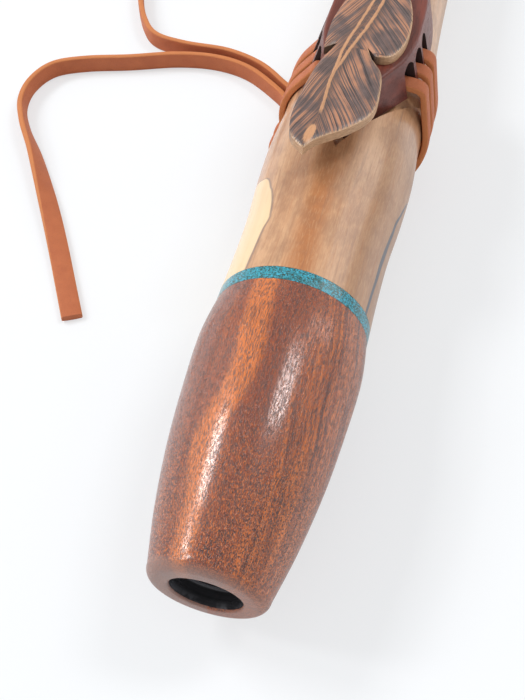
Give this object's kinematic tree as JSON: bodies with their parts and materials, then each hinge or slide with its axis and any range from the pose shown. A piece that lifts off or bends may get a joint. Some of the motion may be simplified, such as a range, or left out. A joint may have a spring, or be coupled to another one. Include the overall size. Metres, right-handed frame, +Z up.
{
  "type": "native american flute",
  "caption": "End-blown wooden block flute: turned mouthpiece, stone inlay band, glued body halves, carved block with a feather tied on by a flat leather lace.",
  "frame": {"origin": "bottom centre of the flute without its loose lace ends: halfway along it, on the surface that it lies on", "axes": "+Y from the mouth end towards the foot, +X to the player's right seen from above, +Z up through the block"},
  "size_m": [0.1186, 0.6002, 0.0475],
  "materials": {
    "red_wood": "clear gloss over open-grained red-brown wood",
    "stone_inlay": "crushed blue-green stone set in resin, polished",
    "figured_wood": "clear gloss over pale wood with an orange-brown heart, cream sapwood and grey streaks",
    "purple_wood": "satin purple-brown wood",
    "burnt_wood": "light wood with burned barbs, a pale rachis and pale cut edges",
    "leather": "tan leather lace, smooth face and paler cut edges"
  },
  "bodies": {
    "flute": {"mouthpiece": "red_wood", "turquoise_band": "stone_inlay", "body_upper_half": "figured_wood", "body_lower_half": "figured_wood"},
    "block_assembly": {"block": "purple_wood", "feather": "burnt_wood", "lace_winding": "leather", "lace_knot": "leather", "lace_end_near": "leather", "lace_end_far": "leather"}
  },
  "joints": [
    {"name": "block_voicing", "type": "slide", "parent": "flute", "child": "block_assembly", "axis": [0, 0.9999, -0.0101], "range_m": [-0.0008, 0.0025]}
  ]
}
